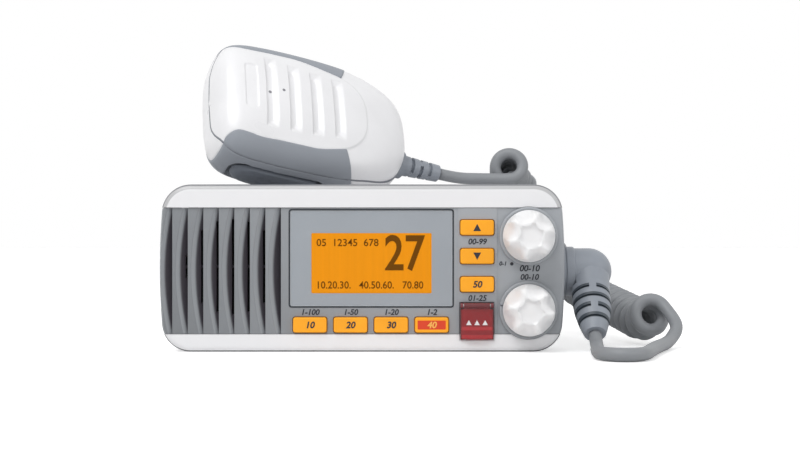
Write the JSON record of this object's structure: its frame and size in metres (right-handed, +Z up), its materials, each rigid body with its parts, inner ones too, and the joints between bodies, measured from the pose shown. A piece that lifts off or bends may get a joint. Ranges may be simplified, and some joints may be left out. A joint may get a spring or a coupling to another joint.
{
  "type": "vhf marine radio",
  "caption": "Fixed-mount marine radio with louvred speaker grille, lit display, keys, two knobs, flip-covered distress key and a fist microphone on a curly cord.",
  "frame": {"origin": "on the surface it stands on, under the middle of the radio and microphone", "axes": "+Z up, the display faces -Y, +X to the viewer's right"},
  "size_m": [0.1987, 0.1953, 0.1202],
  "materials": {
    "white_case": "satin white moulded plastic",
    "grey_case": "matt cool grey moulded plastic",
    "clear_lens": "clear polished window",
    "grey_print": "cool grey print behind the window",
    "amber_screen": "amber lit liquid crystal display",
    "white_inner": "plain white plastic",
    "black_inner": "plain black plastic",
    "amber_rubber": "translucent amber silicone",
    "amber_key": "lit amber key cap",
    "red_key": "red key cap",
    "red_clear": "clear red flip cover",
    "white_knob": "satin white knob",
    "steel": "plated steel",
    "screw_steel": "stainless steel screws",
    "paper_cone": "dark treated cone",
    "magnet": "dark sintered magnet",
    "board": "green circuit board",
    "cast_case": "white painted die casting",
    "cover_plate": "white painted cover",
    "seal_rubber": "black seal rubber",
    "gland_rubber": "black gland rubber",
    "brass_insert": "plain brass",
    "nickel": "nickel plate",
    "cord_grey": "grey moulded elastomer",
    "cord_jacket": "grey cord jacket",
    "white_mic": "satin white moulded plastic",
    "grey_grip": "grey soft-touch grip",
    "grey_button": "grey soft-touch button"
  },
  "bodies": {
    "root": {"antenna_socket_contact": "brass_insert", "antenna_socket_insulator": "white_inner", "antenna_socket_screws": "screw_steel", "antenna_socket_shell": "nickel", "bottom_cover": "cover_plate", "bracket_inserts": "brass_insert", "cable_glands": "gland_rubber", "case_seals": "seal_rubber", "chassis": "cast_case", "chassis_screws": "screw_steel", "cord_coil": "cord_jacket", "cord_mic_end": "cord_jacket", "cord_plug_end": "cord_jacket", "cover_hinge_pin": "steel", "display_backlight": "white_inner", "display_glass": "amber_screen", "display_holder": "black_inner", "display_lens": "clear_lens", "display_mask": "grey_print", "front_bezel": "white_case", "front_circuit_board": "board", "front_panel": "grey_case", "front_screws": "screw_steel", "keypad_mat": "amber_rubber", "main_circuit_board": "board", "microphone_socket": "cord_grey", "plug_boot": "cord_grey", "plug_elbow": "cord_grey", "plug_ring": "cord_grey", "power_module": "black_inner", "rf_shield": "steel", "speaker_basket": "steel", "speaker_cone": "paper_cone", "speaker_magnet": "magnet", "squelch_control": "steel", "volume_control": "steel"},
    "microphone": {"mic_front_shell": "white_mic", "mic_back_shell": "white_mic", "mic_lower_grip": "grey_grip", "mic_upper_grip": "grey_grip", "mic_capsule": "steel", "mic_circuit_board": "board", "mic_ptt_switch": "black_inner", "mic_hanger_stud": "nickel", "mic_screws": "screw_steel", "mic_strain_relief": "cord_grey"},
    "push_to_talk": {"mic_ptt_button": "grey_button"},
    "volume_dial": {"volume_knob": "white_knob", "volume_shaft": "steel"},
    "squelch_dial": {"squelch_knob": "white_knob", "squelch_shaft": "steel"},
    "distress_button": {"distress_key": "red_key"},
    "distress_flap": {"distress_cover": "red_clear"},
    "key_call_button": {"key_call": "amber_key"},
    "key_weather_button": {"key_weather": "amber_key"},
    "key_clear_button": {"key_clear": "amber_key"},
    "key_priority_button": {"key_priority": "amber_key"},
    "key_channel_up_button": {"key_channel_up": "amber_key"},
    "key_channel_down_button": {"key_channel_down": "amber_key"},
    "key_enter_button": {"key_enter": "amber_key"}
  },
  "joints": [
    {"name": "volume_turn", "type": "hinge", "parent": "root", "child": "volume_dial", "pos_m": [0.0607, -0.0633, 0.0428], "axis": [0, 1, 0], "range_deg": [-140, 140]},
    {"name": "squelch_turn", "type": "hinge", "parent": "root", "child": "squelch_dial", "pos_m": [0.0607, -0.0633, 0.0155], "axis": [0, 1, 0], "range_deg": [-140, 140]},
    {"name": "key_call_press", "type": "slide", "parent": "root", "child": "key_call_button", "axis": [0, 1, 0], "range_m": [0, 0.0006], "stiffness_N_per_m": 1500},
    {"name": "key_weather_press", "type": "slide", "parent": "root", "child": "key_weather_button", "axis": [0, 1, 0], "range_m": [0, 0.0006], "stiffness_N_per_m": 1500},
    {"name": "key_clear_press", "type": "slide", "parent": "root", "child": "key_clear_button", "axis": [0, 1, 0], "range_m": [0, 0.0006], "stiffness_N_per_m": 1500},
    {"name": "key_priority_press", "type": "slide", "parent": "root", "child": "key_priority_button", "axis": [0, 1, 0], "range_m": [0, 0.0006], "stiffness_N_per_m": 1500},
    {"name": "key_channel_up_press", "type": "slide", "parent": "root", "child": "key_channel_up_button", "axis": [0, 1, 0], "range_m": [0, 0.0006], "stiffness_N_per_m": 1500},
    {"name": "key_channel_down_press", "type": "slide", "parent": "root", "child": "key_channel_down_button", "axis": [0, 1, 0], "range_m": [0, 0.0006], "stiffness_N_per_m": 1500},
    {"name": "key_enter_press", "type": "slide", "parent": "root", "child": "key_enter_button", "axis": [0, 1, 0], "range_m": [0, 0.0006], "stiffness_N_per_m": 1500},
    {"name": "distress_press", "type": "slide", "parent": "root", "child": "distress_button", "axis": [0, 1, 0], "range_m": [0, 0.0006], "stiffness_N_per_m": 1500},
    {"name": "distress_cover_flip", "type": "hinge", "parent": "root", "child": "distress_flap", "pos_m": [0.0416, -0.0563, 0.0172], "axis": [-1, 0, 0], "range_deg": [0, 95], "stiffness_Nm_per_rad": 0.0012, "springref_deg": -20.05},
    {"name": "microphone_lift", "type": "slide", "parent": "root", "child": "microphone", "axis": [0, 0, 1], "range_m": [0, 0.08]},
    {"name": "push_to_talk_press", "type": "slide", "parent": "microphone", "child": "push_to_talk", "axis": [-0.0838, 0.5444, 0.8346], "range_m": [0, 0.0013], "stiffness_N_per_m": 1500}
  ]
}
